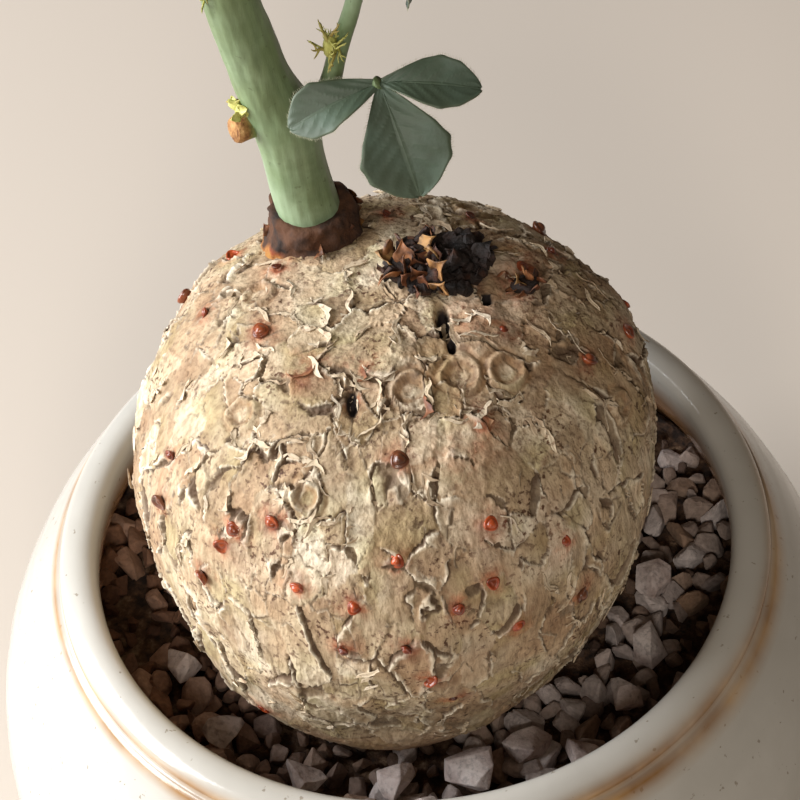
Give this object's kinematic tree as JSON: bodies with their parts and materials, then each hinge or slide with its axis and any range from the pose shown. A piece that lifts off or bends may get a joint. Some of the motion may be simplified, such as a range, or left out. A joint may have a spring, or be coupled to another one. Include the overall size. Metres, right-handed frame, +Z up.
{
  "type": "potted jatropha",
  "caption": "Round flaking caudex with a green stem, a side shoot and three-part leaves, bedded in gravel in a rounded white glazed pot.",
  "frame": {"origin": "centre of the pot's foot ring, on the surface it stands on", "axes": "+Z up; the side shoot and the low leaf are towards +X of the main stem, and the stem stands behind the caudex's crown, towards +Y"},
  "size_m": [0.112, 0.112, 0.2028],
  "materials": {
    "glaze": "glossy off-white stoneware glaze, breaking to tan at the lip",
    "screen_plastic": "matt dark green plastic mesh",
    "pumice": "rough, porous",
    "soil": "gritty, matt, dark brown",
    "gravel": "fine angular gravel, brown and grey",
    "pale_stone": "pale grey-pink angular stones, matt",
    "bark": "papery beige bark, flaking in raised plates",
    "dead_wood": "dark, crusty, dried",
    "cork": "corky, brown with ochre patches",
    "stem_skin": "smooth green skin under a pale waxy bloom",
    "leaf_skin": "blue-green, waxy, satin",
    "scar": "dry tan cut face",
    "bud_skin": "yellow-green, drying brown at the tips"
  },
  "bodies": {
    "root": {"pot": "glaze", "drain_screen": "screen_plastic", "drainage_stones": "pumice", "caudex": "bark", "potting_mix": "soil", "gravel_bed": "gravel", "main_stem": "stem_skin", "side_shoot": "stem_skin", "stem_collar": "cork", "dead_crown": "dead_wood", "crown_scab": "dead_wood", "cut_petiole": "scar", "axillary_bud": "bud_skin", "stipules_shoot": "bud_skin", "stipules_stem": "bud_skin", "stem_tip_bud": "bud_skin", "shoot_tip_bud": "bud_skin", "leaf_low": "leaf_skin", "leaf_shoot_front": "leaf_skin", "leaf_shoot_back": "leaf_skin", "leaf_stem_left": "leaf_skin", "leaf_stem_right": "leaf_skin", "leaf_stem_back": "leaf_skin", "stone_01": "pale_stone", "stone_02": "pale_stone", "stone_03": "pale_stone", "stone_04": "pale_stone", "stone_05": "pale_stone", "stone_06": "pale_stone", "stone_07": "pale_stone", "stone_08": "pale_stone", "stone_09": "pale_stone", "stone_10": "pale_stone", "stone_11": "pale_stone", "stone_12": "pale_stone", "stone_13": "pale_stone", "stone_14": "pale_stone", "stone_15": "pale_stone", "stone_16": "pale_stone", "stone_17": "pale_stone", "stone_18": "pale_stone", "stone_19": "pale_stone"}
  },
  "joints": []
}
